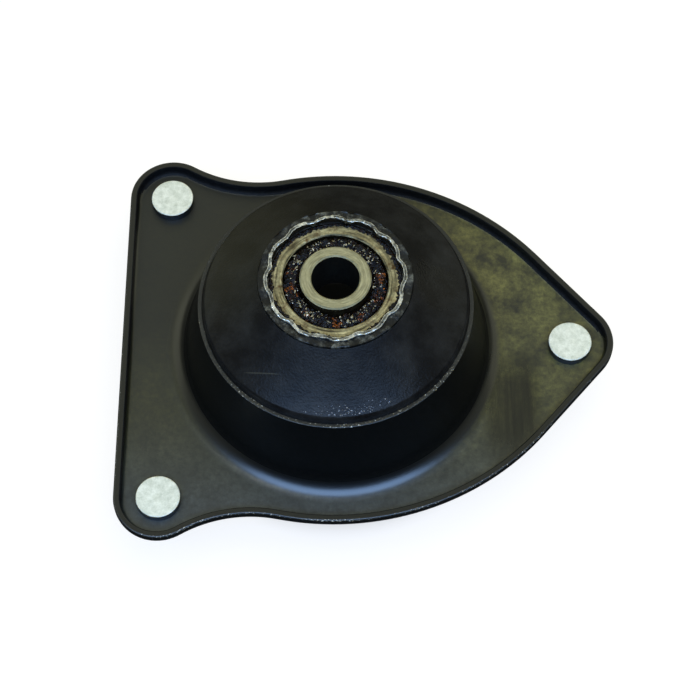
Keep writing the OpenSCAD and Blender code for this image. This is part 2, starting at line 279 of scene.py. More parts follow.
def make_electrocoat():
    """Black electrocoat on pressed steel: satin, under an olive film of dust with rubbed streaks."""
    material, tree, output = new_material("black_electrocoat")
    coords = add(tree, "ShaderNodeTexCoord").outputs["Object"]
    place = add(tree, "ShaderNodeSeparateXYZ", {"Vector": coords})
    clouds = add(
        tree, "ShaderNodeTexNoise",
        {"Vector": coords, "Scale": per_mm(12), "Detail": 8.0, "Roughness": 0.75},
    )
    stretched = add(
        tree, "ShaderNodeMapping",
        {"Vector": coords, "Scale": (per_mm(1.6), per_mm(40), per_mm(40))},
    )
    streaks = add(
        tree, "ShaderNodeTexNoise",
        {"Vector": stretched.outputs[0], "Scale": 1.0, "Detail": 3.0},
    )
    # The coat's peel is finer: its grain is as coarse as it needs to show
    grain = add(tree, "ShaderNodeTexNoise", {"Vector": coords, "Scale": per_mm(0.5), "Detail": 3.0})
    # The film is thicker towards the front stud, most at the far side, and towards the near edge
    along = add(
        tree, "ShaderNodeMapRange",
        {
            "Value": place.outputs["X"], "From Min": -5 * MM, "From Max": 50 * MM, "To Min": 0.0,
            "To Max": 0.15,
        },
        interpolation_type="SMOOTHSTEP",
    )
    across = add(
        tree, "ShaderNodeMapRange",
        {
            "Value": place.outputs["Y"], "From Min": -45 * MM, "From Max": 25 * MM, "To Min": 0.05,
            "To Max": 1.5,
        },
    )
    near = add(
        tree, "ShaderNodeMapRange",
        {
            "Value": place.outputs["Y"], "From Min": 8 * MM, "From Max": -54 * MM, "To Min": 0.012,
            "To Max": 0.105,
        },
    )
    mottle = add(
        tree, "ShaderNodeMapRange",
        {
            "Value": clouds.outputs["Fac"], "From Min": 0.36, "From Max": 0.66, "To Min": 0.1,
            "To Max": 1.8,
        },
    )
    # It is blotched by the front stud and even elsewhere
    even = add(
        tree, "ShaderNodeMapRange",
        {
            "Value": clouds.outputs["Fac"], "From Min": 0.36, "From Max": 0.66, "To Min": 0.72,
            "To Max": 1.25,
        },
    )
    thick = add(
        tree, "ShaderNodeMath",
        {0: along.outputs[0], 1: across.outputs[0]}, operation="MULTIPLY",
    )
    thick = add(
        tree, "ShaderNodeMath",
        {0: thick.outputs[0], 1: mottle.outputs[0]}, operation="MULTIPLY",
    )
    film = add(
        tree, "ShaderNodeMath",
        {0: near.outputs[0], 1: even.outputs[0], 2: thick.outputs[0]}, operation="MULTIPLY_ADD",
    )
    # Fine specks of dust lie in it
    dust = add(
        tree, "ShaderNodeTexNoise",
        {"Vector": coords, "Scale": per_mm(1.3), "Detail": 4.0, "Roughness": 0.7},
    )
    specks = add(
        tree, "ShaderNodeMapRange",
        {
            "Value": dust.outputs["Fac"], "From Min": 0.35, "From Max": 0.75, "To Min": 0.6,
            "To Max": 1.8,
        },
    )
    film = add(tree, "ShaderNodeMath", {0: film.outputs[0], 1: specks.outputs[0]}, operation="MULTIPLY")
    # Something has rubbed the film off in streaks between the neck and the front stud
    streak_x = 53.5 * MM
    streak_y = -21 * MM
    beside = add(tree, "ShaderNodeMath", {0: place.outputs["X"], 1: streak_x}, operation="SUBTRACT")
    beside = add(tree, "ShaderNodeMath", {0: beside.outputs[0]}, operation="ABSOLUTE")
    band_x = add(
        tree, "ShaderNodeMapRange",
        {"Value": beside.outputs[0], "From Min": 9.5 * MM, "From Max": 4.5 * MM},
    )
    before = add(tree, "ShaderNodeMath", {0: place.outputs["Y"], 1: streak_y}, operation="SUBTRACT")
    before = add(tree, "ShaderNodeMath", {0: before.outputs[0]}, operation="ABSOLUTE")
    band_y = add(
        tree, "ShaderNodeMapRange",
        {"Value": before.outputs[0], "From Min": 21 * MM, "From Max": 8 * MM},
    )
    band = add(
        tree, "ShaderNodeMath",
        {0: band_x.outputs[0], 1: band_y.outputs[0]}, operation="MULTIPLY",
    )
    rubbed = add(
        tree, "ShaderNodeMapRange",
        {
            "Value": streaks.outputs["Fac"], "From Min": 0.36, "From Max": 0.62, "To Min": 1.0,
            "To Max": 0.7,
        },
    )
    rubbed = add(
        tree, "ShaderNodeMath",
        {0: rubbed.outputs[0], 1: band.outputs[0]}, operation="MULTIPLY",
    )
    kept = add(tree, "ShaderNodeMath", {0: 1.0, 1: rubbed.outputs[0]}, operation="SUBTRACT")
    film = add(tree, "ShaderNodeMath", {0: film.outputs[0], 1: kept.outputs[0]}, operation="MULTIPLY")
    # The drawn neck has none
    settled = add(
        tree, "ShaderNodeMapRange",
        {"Value": place.outputs["Z"], "From Min": 2.9 * MM, "From Max": 2.05 * MM},
    )
    film = add(
        tree, "ShaderNodeMath",
        {0: film.outputs[0], 1: settled.outputs[0]}, operation="MULTIPLY", use_clamp=True,
    )
    # Its dust is olive, and blue-grey near the front edge, partly a painted cool cast of the light in
    # front
    depth = add(
        tree, "ShaderNodeMapRange",
        {"Value": place.outputs["Y"], "From Min": -52 * MM, "From Max": -22 * MM},
    )
    dust_and_cool_cast_colour = add(
        tree, "ShaderNodeMix",
        {MIX_FACTOR: depth.outputs[0], MIX_A: linear("#7c8c90"), MIX_B: linear("#93934f")},
        data_type="RGBA",
    )
    colour = add(
        tree, "ShaderNodeMix",
        {MIX_FACTOR: film.outputs[0], MIX_A: linear("#070808"), MIX_B: dust_and_cool_cast_colour.outputs[MIX_OUT]},
        data_type="RGBA",
    )
    # The drawn and bent places are smoother than the flat, and the rubbed streaks are polished
    roughness = add(
        tree, "ShaderNodeMapRange",
        {
            "Value": place.outputs["Z"], "From Min": 2.02 * MM, "From Max": 2.3 * MM, "To Min": 0.42,
            "To Max": 0.3,
        },
    )
    roughness = add(
        tree, "ShaderNodeMapRange",
        {"Value": rubbed.outputs[0], "To Min": roughness.outputs[0], "To Max": 0.15},
    )
    bump = add(
        tree, "ShaderNodeBump",
        {"Height": grain.outputs["Fac"], "Strength": 0.12, "Distance": 0.02 * MM},
    )
    shader = add(
        tree, "ShaderNodeBsdfPrincipled",
        {
            "Base Color": colour.outputs[MIX_OUT], "Roughness": roughness.outputs[0],
            "Normal": bump.outputs[0], "IOR": 1.5, "Specular IOR Level": 1.0,
        },
    )
    tree.links.new(shader.outputs[0], output.inputs["Surface"])
    return material


def make_chipped_edge():
    """Edge of the coated sheet: its thin coat is rubbed grey, and chipped to bare steel in front."""
    material, tree, output = new_material("chipped_coat_edge")
    coords = add(tree, "ShaderNodeTexCoord").outputs["Object"]
    place = add(tree, "ShaderNodeSeparateXYZ", {"Vector": coords})
    spots = add(tree, "ShaderNodeTexNoise", {"Vector": coords, "Scale": per_mm(0.5), "Detail": 2.0})
    zones = add(tree, "ShaderNodeTexNoise", {"Vector": coords, "Scale": per_mm(18), "Detail": 2.0})
    nearness = add(
        tree, "ShaderNodeMapRange",
        {
            "Value": place.outputs["Y"], "From Min": 30 * MM, "From Max": -55 * MM, "To Min": -0.1,
            "To Max": 0.06,
        },
    )
    local = add(
        tree, "ShaderNodeMath",
        {0: zones.outputs["Fac"], 1: 0.4, 2: nearness.outputs[0]}, operation="MULTIPLY_ADD",
    )
    wear = add(tree, "ShaderNodeMath", {0: spots.outputs["Fac"], 1: local.outputs[0]}, operation="ADD")
    chips = add(
        tree, "ShaderNodeMapRange",
        {"Value": wear.outputs[0], "From Min": 0.89, "From Max": 0.96},
    )
    thin = add(
        tree, "ShaderNodeMapRange",
        {"Value": wear.outputs[0], "From Min": 0.65, "From Max": 0.95, "To Min": 0.0, "To Max": 0.14},
    )
    coat = add(
        tree, "ShaderNodeMix",
        {MIX_FACTOR: thin.outputs[0], MIX_A: linear("#0a0b0b"), MIX_B: linear("#75766a")},
        data_type="RGBA",
    )
    colour = add(
        tree, "ShaderNodeMix",
        {MIX_FACTOR: chips.outputs[0], MIX_A: coat.outputs[MIX_OUT], MIX_B: linear("#b9bab2")},
        data_type="RGBA",
    )
    shader = add(
        tree, "ShaderNodeBsdfPrincipled",
        {
            "Base Color": colour.outputs[MIX_OUT], "Metallic": 0.0, "Roughness": 0.42, "IOR": 1.5,
            "Specular IOR Level": 1.0,
        },
    )
    tree.links.new(shader.outputs[0], output.inputs["Surface"])
    return material


def make_dull_coat(name, dark, pale, roughness, gloss):
    """Black coat without its gloss, dull and a little gritty: painted shade on the lip's far side and
    on the neck's wall.
    """
    material, tree, output = new_material(name)
    coords = add(tree, "ShaderNodeTexCoord").outputs["Object"]
    grit = add(
        tree, "ShaderNodeTexNoise",
        {"Vector": coords, "Scale": per_mm(1.2), "Detail": 5.0, "Roughness": 0.7},
    )
    share = add(
        tree, "ShaderNodeMapRange",
        {"Value": grit.outputs["Fac"], "From Min": 0.5, "From Max": 0.8},
    )
    colour = add(
        tree, "ShaderNodeMix",
        {MIX_FACTOR: share.outputs[0], MIX_A: linear(dark), MIX_B: linear(pale)}, data_type="RGBA",
    )
    bump = add(
        tree, "ShaderNodeBump",
        {"Height": grit.outputs["Fac"], "Strength": 0.3, "Distance": 0.05 * MM},
    )
    shader = add(
        tree, "ShaderNodeBsdfPrincipled",
        {
            "Base Color": colour.outputs[MIX_OUT], "Roughness": roughness, "Normal": bump.outputs[0],
            "IOR": 1.5, "Specular IOR Level": gloss,
        },
    )
    tree.links.new(shader.outputs[0], output.inputs["Surface"])
    return material


def make_zinc(name, dark, pale, metallic, roughness):
    """Cloudy zinc plate: almost white where it is matt, metallic and dark where it paints shade on the
    heads' sides.
    """
    material, tree, output = new_material(name)
    coords = add(tree, "ShaderNodeTexCoord").outputs["Object"]
    clouds = add(
        tree, "ShaderNodeTexNoise",
        {"Vector": coords, "Scale": per_mm(2.4), "Detail": 8.0, "Roughness": 0.75},
    )
    grain = add(tree, "ShaderNodeTexNoise", {"Vector": coords, "Scale": per_mm(0.35), "Detail": 2.0})
    share = add(
        tree, "ShaderNodeMapRange",
        {"Value": clouds.outputs["Fac"], "From Min": 0.35, "From Max": 0.65},
    )
    colour = add(
        tree, "ShaderNodeMix",
        {MIX_FACTOR: share.outputs[0], MIX_A: linear(dark), MIX_B: linear(pale)}, data_type="RGBA",
    )
    bump = add(
        tree, "ShaderNodeBump",
        {"Height": grain.outputs["Fac"], "Strength": 0.15, "Distance": 0.03 * MM},
    )
    shader = add(
        tree, "ShaderNodeBsdfPrincipled",
        {
            "Base Color": colour.outputs[MIX_OUT], "Metallic": metallic, "Roughness": roughness,
            "Normal": bump.outputs[0],
        },
    )
    tree.links.new(shader.outputs[0], output.inputs["Surface"])
    return material


def make_rubber():
    """Moulded black rubber: fine grain, painted light at the far left, oil on the right and a scratch.
    """
    material, tree, output = new_material("moulded_black_rubber")
    coords = add(tree, "ShaderNodeTexCoord").outputs["Object"]
    place = add(tree, "ShaderNodeSeparateXYZ", {"Vector": coords})
    clouds = add(
        tree, "ShaderNodeTexNoise",
        {"Vector": coords, "Scale": per_mm(9), "Detail": 6.0, "Roughness": 0.7},
    )
    grain = add(tree, "ShaderNodeTexNoise", {"Vector": coords, "Scale": per_mm(0.7), "Detail": 3.0})
    share = add(
        tree, "ShaderNodeMapRange",
        {"Value": clouds.outputs["Fac"], "From Min": 0.4, "From Max": 0.75},
    )
    colour = add(
        tree, "ShaderNodeMix",
        {MIX_FACTOR: share.outputs[0], MIX_A: linear("#0e0e0f"), MIX_B: linear("#232425")},
        data_type="RGBA",
    )
    # Painted light: the far left is lighter and olive, as if lit warm from behind
    painted_light_place = (-28 * MM, 18 * MM, 38 * MM)
    from_painted_light = add(tree, "ShaderNodeVectorMath", {0: coords, 1: painted_light_place}, operation="DISTANCE")
    dust = add(
        tree, "ShaderNodeMapRange",
        {
            "Value": from_painted_light.outputs["Value"], "From Min": 32 * MM, "From Max": 10 * MM,
            "To Min": 0.0, "To Max": 0.32,
        },
    )
    colour = add(
        tree, "ShaderNodeMix",
        {MIX_FACTOR: dust.outputs[0], MIX_A: colour.outputs[MIX_OUT], MIX_B: linear("#383729")},
        data_type="RGBA",
    )
    # The scratch runs a little way across the front left, slightly forward to the right
    scratch_slope = 0.2
    scratch_forward = 30.25 * MM
    scratch_left = 21 * MM
    beside = add(
        tree, "ShaderNodeMath",
        {0: place.outputs["X"], 1: scratch_slope, 2: place.outputs["Y"]}, operation="MULTIPLY_ADD",
    )
    beside = add(tree, "ShaderNodeMath", {0: beside.outputs[0], 1: scratch_forward}, operation="ADD")
    beside = add(tree, "ShaderNodeMath", {0: beside.outputs[0]}, operation="ABSOLUTE")
    along = add(tree, "ShaderNodeMath", {0: place.outputs["X"], 1: scratch_left}, operation="ADD")
    along = add(tree, "ShaderNodeMath", {0: along.outputs[0]}, operation="ABSOLUTE")
    width = add(
        tree, "ShaderNodeMapRange",
        {"Value": beside.outputs[0], "From Min": 0.22 * MM, "From Max": 0.06 * MM},
    )
    length = add(
        tree, "ShaderNodeMapRange",
        {"Value": along.outputs[0], "From Min": 5.6 * MM, "From Max": 3 * MM},
    )
    scratch = add(
        tree, "ShaderNodeMath",
        {0: width.outputs[0], 1: length.outputs[0]}, operation="MULTIPLY",
    )
    colour = add(
        tree, "ShaderNodeMix",
        {MIX_FACTOR: scratch.outputs[0], MIX_A: colour.outputs[MIX_OUT], MIX_B: linear("#353530")},
        data_type="RGBA",
    )
    # A ragged patch of oil makes the right glossy
    oily_place = (30 * MM, 1 * MM, 39 * MM)
    from_oil = add(tree, "ShaderNodeVectorMath", {0: coords, 1: oily_place}, operation="DISTANCE")
    ragged = add(
        tree, "ShaderNodeMath",
        {0: clouds.outputs["Fac"], 1: 16 * MM, 2: from_oil.outputs["Value"]}, operation="MULTIPLY_ADD",
    )
    oil = add(
        tree, "ShaderNodeMapRange",
        {"Value": ragged.outputs[0], "From Min": 17 * MM, "From Max": 14 * MM},
    )
    # The mould was smoother towards the foot of the cone
    flat = add(tree, "ShaderNodeVectorMath", {0: coords, 1: (1.0, 1.0, 0.0)}, operation="MULTIPLY")
    radius = add(tree, "ShaderNodeVectorMath", {0: flat.outputs["Vector"]}, operation="LENGTH")
    moulded = add(
        tree, "ShaderNodeMapRange",
        {
            "Value": radius.outputs["Value"], "From Min": 24 * MM, "From Max": 38 * MM, "To Min": 0.46,
            "To Max": 0.3,
        },
    )
    roughness = add(
        tree, "ShaderNodeMapRange",
        {"Value": oil.outputs[0], "To Min": moulded.outputs[0], "To Max": 0.16},
    )
    bump = add(
        tree, "ShaderNodeBump",
        {"Height": grain.outputs["Fac"], "Strength": 0.36, "Distance": 0.3 * MM},
    )
    shader = add(
        tree, "ShaderNodeBsdfPrincipled",
        {
            "Base Color": colour.outputs[MIX_OUT], "Roughness": roughness.outputs[0],
            "Normal": bump.outputs[0], "IOR": 1.5, "Specular IOR Level": 0.18,
        },
    )
    tree.links.new(shader.outputs[0], output.inputs["Surface"])
    return material


def make_steel(
    name, pale, dark, roughness, metallic, grit_depth, dirt_share, dirt_colour="#1c150c",
    ring_mm=0.0, ring_depth=0.0,
):
    """Bare steel: gritty, with dirt or grease in patches, and lathe rings where it was turned."""
    material, tree, output = new_material(name)
    coords = add(tree, "ShaderNodeTexCoord").outputs["Object"]
    clouds = add(
        tree, "ShaderNodeTexNoise",
        {"Vector": coords, "Scale": per_mm(3), "Detail": 6.0, "Roughness": 0.7},
    )
    share = add(
        tree, "ShaderNodeMapRange",
        {"Value": clouds.outputs["Fac"], "From Min": 0.35, "From Max": 0.65},
    )
    metal = add(
        tree, "ShaderNodeMix",
        {MIX_FACTOR: share.outputs[0], MIX_A: linear(dark), MIX_B: linear(pale)}, data_type="RGBA",
    )
    smears = add(
        tree, "ShaderNodeTexNoise",
        {"Vector": coords, "Scale": per_mm(2.6), "Detail": 6.0, "Roughness": 0.65},
    )
    dirt = add(
        tree, "ShaderNodeMapRange",
        {
            "Value": smears.outputs["Fac"], "From Min": 0.68 - dirt_share * 0.4,
            "From Max": 0.84 - dirt_share * 0.4,
        },
    )
    colour = add(
        tree, "ShaderNodeMix",
        {MIX_FACTOR: dirt.outputs[0], MIX_A: metal.outputs[MIX_OUT], MIX_B: linear(dirt_colour)},
        data_type="RGBA",
    )
    bare = add(
        tree, "ShaderNodeMapRange",
        {"Value": dirt.outputs[0], "To Min": metallic, "To Max": 0.0},
    )
    grit = add(
        tree, "ShaderNodeTexNoise",
        {"Vector": coords, "Scale": per_mm(0.6), "Detail": 4.0, "Roughness": 0.7},
    )
    shade = add(
        tree, "ShaderNodeMapRange",
        {
            "Value": grit.outputs["Fac"], "From Min": 0.35, "From Max": 0.65, "To Min": 1 - grit_depth,
            "To Max": 1 + grit_depth,
        },
    )
    height = grit.outputs["Fac"]
    # The lathe's marks are finer: the rings are as coarse as they need to show
    if ring_mm:
        flat = add(tree, "ShaderNodeVectorMath", {0: coords, 1: (1.0, 1.0, 0.0)}, operation="MULTIPLY")
        radius = add(tree, "ShaderNodeVectorMath", {0: flat.outputs["Vector"]}, operation="LENGTH")
        way = add(tree, "ShaderNodeVectorMath", {0: flat.outputs["Vector"]}, operation="NORMALIZE")
        steps = add(
            tree, "ShaderNodeMath",
            {0: radius.outputs["Value"], 1: per_mm(ring_mm)}, operation="MULTIPLY",
        )
        out = add(tree, "ShaderNodeCombineXYZ", {"Z": steps.outputs[0]})
        path = add(
            tree, "ShaderNodeVectorMath",
            {0: way.outputs["Vector"], 1: (2.5, 2.5, 0.0), 2: out.outputs["Vector"]},
            operation="MULTIPLY_ADD",
        )
        turns = add(
            tree, "ShaderNodeTexNoise",
            {"Vector": path.outputs["Vector"], "Scale": 1.0, "Detail": 2.0},
        )
        height = turns.outputs["Fac"]
        lines = add(
            tree, "ShaderNodeMapRange",
            {
                "Value": height, "From Min": 0.3, "From Max": 0.7, "To Min": 1 - ring_depth,
                "To Max": 1 + ring_depth / 2,
            },
        )
        shade = add(
            tree, "ShaderNodeMath",
            {0: shade.outputs[0], 1: lines.outputs[0]}, operation="MULTIPLY",
        )
    shown = add(
        tree, "ShaderNodeVectorMath",
        {0: colour.outputs[MIX_OUT], "Scale": shade.outputs[0]}, operation="SCALE",
    )
    bump = add(tree, "ShaderNodeBump", {"Height": height, "Strength": 0.3, "Distance": 0.03 * MM})
    shader = add(
        tree, "ShaderNodeBsdfPrincipled",
        {
            "Base Color": shown.outputs["Vector"], "Metallic": bare.outputs[0], "Roughness": roughness,
            "Normal": bump.outputs[0],
        },
    )
    tree.links.new(shader.outputs[0], output.inputs["Surface"])
    return material


def make_grease(name, dark, pale, gloss):
    """Old bearing grease: glossy and lumpy, its oil brown to amber; its pale copies paint glints."""
    material, tree, output = new_material(name)
    coords = add(tree, "ShaderNodeTexCoord").outputs["Object"]
    clots = add(
        tree, "ShaderNodeTexNoise",
        {"Vector": coords, "Scale": per_mm(0.9), "Detail": 5.0, "Roughness": 0.7},
    )
    share = add(
        tree, "ShaderNodeMapRange",
        {"Value": clots.outputs["Fac"], "From Min": 0.5, "From Max": 0.72},
    )
    colour = add(
        tree, "ShaderNodeMix",
        {MIX_FACTOR: share.outputs[0], MIX_A: linear(dark), MIX_B: linear(pale)}, data_type="RGBA",
    )
    grain = add(
        tree, "ShaderNodeTexNoise",
        {"Vector": coords, "Scale": per_mm(0.8), "Detail": 3.0, "Roughness": 0.6},
    )
    bump = add(
        tree, "ShaderNodeBump",
        {"Height": grain.outputs["Fac"], "Strength": 1.0, "Distance": 0.9 * MM},
    )
    shader = add(
        tree, "ShaderNodeBsdfPrincipled",
        {
            "Base Color": colour.outputs[MIX_OUT], "Roughness": 0.12, "Normal": bump.outputs[0],
            "IOR": 1.48, "Specular IOR Level": gloss,
        },
    )
    tree.links.new(shader.outputs[0], output.inputs["Surface"])
    return material


def make_floor_paint():
    """White matt floor: the camera sees it near white with a soft shadow and a painted dark shadow
    under the part, reflections see it dark.
    """
    material, tree, output = new_material("white_floor_paint")
    path = add(tree, "ShaderNodeLightPath")
    coords = add(tree, "ShaderNodeTexCoord").outputs["Object"]
    # Painted shadow: towards the part's axis the floor fades to near black
    away = add(tree, "ShaderNodeVectorMath", {0: coords}, operation="LENGTH")
    outside_painted_shadow = add(
        tree, "ShaderNodeMapRange",
        {"Value": away.outputs["Value"], "From Min": 38 * MM, "From Max": 60 * MM},
        interpolation_type="SMOOTHSTEP",
    )
    glow = add(tree, "ShaderNodeEmission", {"Color": (1.0, 1.0, 1.0, 1.0), "Strength": 0.82})
    shade = add(tree, "ShaderNodeBsdfDiffuse", {"Color": (0.22, 0.22, 0.22, 1.0)})
    lit = add(tree, "ShaderNodeAddShader", {0: glow.outputs[0], 1: shade.outputs[0]})
    painted_shadow_under_part = add(tree, "ShaderNodeBsdfDiffuse", {"Color": (0.035, 0.035, 0.035, 1.0)})
    mirrored = add(tree, "ShaderNodeBsdfDiffuse", {"Color": (0.02, 0.02, 0.02, 1.0)})
    seen = add(
        tree, "ShaderNodeMixShader",
        {0: outside_painted_shadow.outputs[0], 1: painted_shadow_under_part.outputs[0], 2: lit.outputs[0]},
    )
    paint = add(tree, "ShaderNodeBsdfDiffuse", {"Color": (0.6, 0.6, 0.6, 1.0)})
    unseen = add(
        tree, "ShaderNodeMixShader",
        {0: path.outputs["Is Glossy Ray"], 1: paint.outputs[0], 2: mirrored.outputs[0]},
    )
    shader = add(
        tree, "ShaderNodeMixShader",
        {0: path.outputs["Is Camera Ray"], 1: unseen.outputs[0], 2: seen.outputs[0]},
    )
    tree.links.new(shader.outputs[0], output.inputs["Surface"])
    return material


# Pieces

def sweep(bm, geom, centre, degrees, steps):
    """Turns the open end of the lip round an arc's centre and returns its new end."""
    turned = bmesh.ops.spin(
        bm, geom=geom, cent=centre, axis=(0, 0, 1), angle=math.radians(degrees), steps=steps,
        use_duplicate=False,
    )
    return turned["geom_last"]


def push(bm, geom, move):
    """Lengthens the open end of the lip in a straight line and returns its new end."""
    edges = [g for g in geom if isinstance(g, bmesh.types.BMEdge)]
    grown = bmesh.ops.extrude_edge_only(bm, edges=edges)["geom"]
    bmesh.ops.translate(bm, vec=move, verts=[g for g in grown if isinstance(g, bmesh.types.BMVert)])
    return [g for g in grown if not isinstance(g, bmesh.types.BMFace)]


def faces_out(edge):
    """Whether an edge of the lip's top is its outer one: the top then lies towards the axis."""
    middle = (edge.verts[0].co + edge.verts[1].co) / 2
    top_face = max(edge.link_faces, key=lambda f: f.normal.z)
    return points_in(top_face.calc_center_median() - middle, middle)


def build_plate(coat, edge_coat, painted_shade_coat, neck_shade_coat):
    """One stamping: the lip swept along the edge, the neck turned, and the flat filled in between."""
    bm = bmesh.new()
    tongue = PLATE_T + BEND_R + 2
    section = [(tongue, PLATE_T), (PLATE_T, PLATE_T), (PLATE_T, LIP_H), (0, LIP_H), (0, 0), (tongue, 0)]
    rear_x = REAR_STUD.x - CORNER_R
    hollow_c = tangent_centre(REAR_STUD, CORNER_R + HOLLOW_R, FLANK_C, FLANK_R + HOLLOW_R)
    lobe_end = heading(hollow_c - REAR_STUD)
    flank_end = heading(hollow_c - FLANK_C)
    hollow_turn = heading(FLANK_C - hollow_c) - heading(REAR_STUD - hollow_c)
    to_tip = FRONT_STUD - FLANK_C
    tip_turn = heading(to_tip) + math.degrees(math.acos((FLANK_R - CORNER_R) / to_tip.length))
    tip_normal = Vector((math.cos(math.radians(tip_turn)), math.sin(math.radians(tip_turn)), 0))
    side = (FRONT_STUD + CORNER_R * tip_normal) - (FLANK_C + FLANK_R * tip_normal)
    end = chain(bm, [(rear_x + u, 0, z) for u, z in section], False)
    end = push(bm, end, (0, REAR_STUD.y, 0))
    end = sweep(bm, end, REAR_STUD, lobe_end - 180, steps=26)
    end = sweep(bm, end, hollow_c, hollow_turn, steps=16)
    end = sweep(bm, end, FLANK_C, tip_turn - flank_end, steps=32)
    end = push(bm, end, side)
    sweep(bm, end, FRONT_STUD, -tip_turn, steps=12)
    half = bm.verts[:] + bm.edges[:] + bm.faces[:]
    bmesh.ops.mirror(bm, geom=half, matrix=Matrix.Identity(4), merge_dist=SEAM_DIST, axis="Y")
    tidy(bm)
    corners = sharp_edges(bm, 60)
    bottom = [e for e in corners if e.verts[0].co.z < 0.1]
    inside = [e for e in corners if abs(e.verts[0].co.z - PLATE_T) < 0.1]
    top = [e for e in corners if abs(e.verts[0].co.z - LIP_H) < 0.1]
    outer_top = [e for e in top if faces_out(e)]
    inner_top = [e for e in top if not faces_out(e)]
    round_edges(bm, bottom, PLATE_T + BEND_R, segments=6)
    round_edges(bm, inside, BEND_R, segments=5)
    inner_round = 0.25
    outer_round = 0.5
    # The lip's inner top edge gets the same painted shade all round
    for face in round_edges(bm, inner_top, inner_round, segments=2):
        face.material_index = PLATE_PAINTED_SHADE
    worn = round_edges(bm, outer_top, outer_round, segments=3)
    # Painted shade: a dull dark copy of the coat lies on the far side of the lip, on faces that look to
    # the front
    facing_front = -0.2
    bm.normal_update()
    for face in bm.faces:
        middle = face.calc_center_median()
        inward = points_in(face.normal, middle)
        if inward and face.normal.y < facing_front and middle.z > PLATE_T:
            face.material_index = PLATE_PAINTED_SHADE

    lean = math.atan((NECK_FOOT_R - NECK_RIM_R) / (NECK_H - PLATE_T))
    half_turn = math.tan((math.pi / 2 + lean) / 2)
    revolve(
        bm,
        [
            (NECK_FLAT_R, PLATE_T), (NECK_FOOT_R, PLATE_T), (NECK_RIM_R, NECK_H),
            (NECK_RIM_R - NECK_RIM_T, NECK_H), (NECK_INNER_FOOT_R, 0), (NECK_FLAT_R, 0),
        ],
        steps=180, closed=False,
    )
    bmesh.ops.remove_doubles(bm, verts=bm.verts, dist=MERGE_DIST)
    round_edges(bm, ring_edges(bm, NECK_FOOT_R, PLATE_T), NECK_FILLET_R / half_turn, segments=12)
    inner_fillet = (NECK_FILLET_R + PLATE_T) / half_turn
    round_edges(bm, ring_edges(bm, NECK_INNER_FOOT_R, 0), inner_fillet, segments=12)
    rim_inner_round = 0.15
    rim_outer_round = 0.2
    round_edges(bm, ring_edges(bm, NECK_RIM_R - NECK_RIM_T, NECK_H), rim_inner_round, segments=2)
    worn += round_edges(bm, ring_edges(bm, NECK_RIM_R, NECK_H), rim_outer_round, segments=3)
    # The neck's wall gets a dull dark copy of the coat as painted shade, and the rim's top is worn as
    # the lip is
    wall_top_z = NECK_H - 0.4
    wall_reach = NECK_FOOT_R + 4
    rim_z = NECK_H - 0.05
    for face in bm.faces:
        middle = face.calc_center_median()
        if NECK_DULL_Z < middle.z < wall_top_z and from_axis(middle) < wall_reach:
            face.material_index = PLATE_NECK_SHADE
        elif middle.z > rim_z:
            face.material_index = PLATE_WORN
    for face in worn:
        face.material_index = PLATE_WORN

    holes = []
    for stud in stud_places():
        rims = []
        for z in (0, PLATE_T):
            rim = bmesh.ops.create_circle(
                bm, cap_ends=False, radius=STUD_PRESS_D / 2, segments=48,
                matrix=Matrix.Translation(stud + Vector((0, 0, z))),
            )
            rims += list({e for v in rim["verts"] for e in v.link_edges})
        holes.append(rims)
    for z, up in ((0, -1), (PLATE_T, 1)):
        border = [e for e in bm.edges if len(e.link_faces) < 2]
        border = [e for e in border if all(abs(v.co.z - z) < SEAM_DIST for v in e.verts)]
        bmesh.ops.triangle_fill(bm, use_beauty=True, edges=border, normal=(0, 0, up))
    for rims in holes:
        bmesh.ops.bridge_loops(bm, edges=rims)
    tidy(bm)
    piece(
        "mounting_plate_coated", bm, [coat, edge_coat, painted_shade_coat, neck_shade_coat], "mount",
        ["mounting_plate"],
    )


def stud_places():
    """Where the three studs stand."""
    return [FRONT_STUD, REAR_STUD, Vector((REAR_STUD.x, -REAR_STUD.y, 0))]


